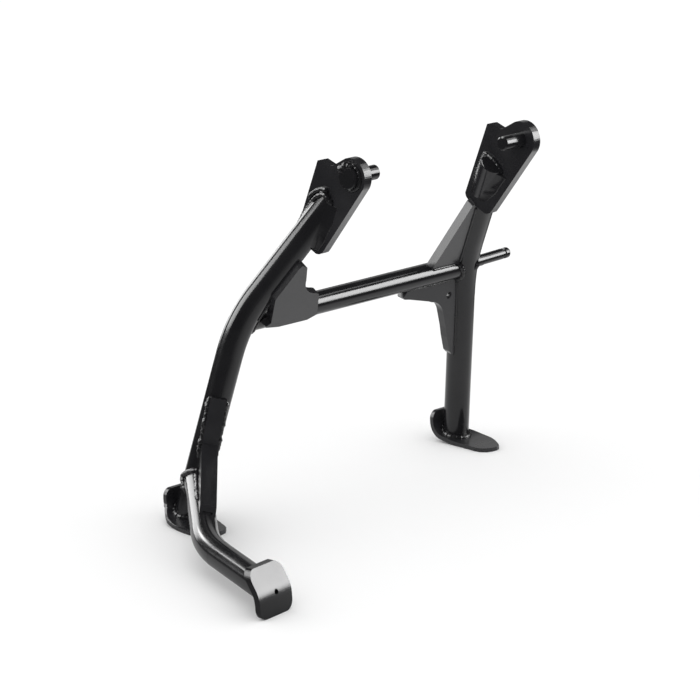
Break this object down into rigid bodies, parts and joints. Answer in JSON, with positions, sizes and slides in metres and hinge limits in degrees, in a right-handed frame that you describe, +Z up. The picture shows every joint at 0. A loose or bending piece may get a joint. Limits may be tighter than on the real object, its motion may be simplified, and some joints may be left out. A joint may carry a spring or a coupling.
{
  "type": "motorcycle centre stand",
  "caption": "Welded tubular centre stand for a motorcycle: two bent legs with curved foot plates, pivot plates with inward pins, a cross tube and a side lever with a foot pad.",
  "frame": {"origin": "on the ground, under the middle of the overall box", "axes": "+X toward the right leg, +Y toward the front of the motorcycle, +Z up; the lever runs out to -X and -Y"},
  "size_m": [0.543, 0.2672, 0.351],
  "materials": {
    "black_coat": "semi-gloss black powder coat on steel"
  },
  "bodies": {
    "root": {"left_leg": "black_coat", "right_leg": "black_coat", "cross_tube": "black_coat", "left_pivot_plate": "black_coat", "right_pivot_plate": "black_coat", "left_pivot_pin": "black_coat", "right_pivot_pin": "black_coat", "left_foot": "black_coat", "right_foot": "black_coat", "lever_tube": "black_coat", "lever_pad": "black_coat", "lever_brace": "black_coat", "left_gusset": "black_coat", "right_upper_gusset": "black_coat", "right_lower_gusset": "black_coat", "spring_post": "black_coat"}
  },
  "joints": []
}
